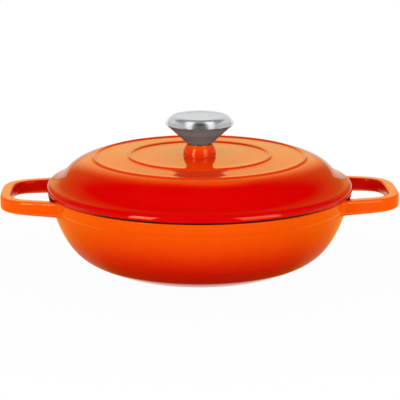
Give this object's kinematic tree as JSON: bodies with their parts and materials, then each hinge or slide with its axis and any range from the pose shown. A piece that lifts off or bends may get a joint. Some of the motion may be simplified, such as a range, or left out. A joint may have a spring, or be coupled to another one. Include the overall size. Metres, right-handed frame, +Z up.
{
  "type": "lidded cast iron pan",
  "caption": "Shallow round pan in enamelled cast iron with loop handles and a domed lid that lifts off by a conical steel knob, for browning, braising and serving.",
  "frame": {"origin": "centre of the base, on the surface that the pan stands on", "axes": "+X through the loop handles, +Y across them, +Z up through the knob"},
  "size_m": [0.3892, 0.3, 0.1473],
  "materials": {
    "pan_enamel": "gloss vitreous enamel, orange shading to red at the foot, cream inside, matt black on the rim",
    "lid_enamel": "gloss vitreous enamel, red shading to orange on the top, cream inside, matt black on the seat",
    "knob_steel": "spun and brushed stainless steel",
    "insert_brass": "machined",
    "gasket_rubber": "matt",
    "screw_steel": "bright"
  },
  "bodies": {
    "pan": {"pan_body": "pan_enamel"},
    "lid": {"lid": "lid_enamel", "knob_gasket": "gasket_rubber", "flat_washer": "screw_steel", "lock_washer": "screw_steel"},
    "screw": {"knob_screw": "screw_steel"},
    "knob": {"knob_cone": "knob_steel", "knob_cap": "knob_steel", "knob_insert": "insert_brass"}
  },
  "joints": [
    {"name": "lid_lift", "type": "slide", "parent": "pan", "child": "lid", "axis": [0, 0, 1], "range_m": [0, 0.15]},
    {"name": "screw_turn", "type": "hinge", "parent": "lid", "child": "screw", "pos_m": [0, 0, 0.1], "axis": [0, 0, -1], "range_deg": [0, 2881]},
    {"name": "knob_rise", "type": "slide", "parent": "lid", "child": "knob", "axis": [0, 0, 1], "range_m": [0, 0.008]}
  ],
  "couplings": [
    {"joint": "screw_turn", "follows": "knob_rise", "rad_per_m": 6283.2}
  ]
}
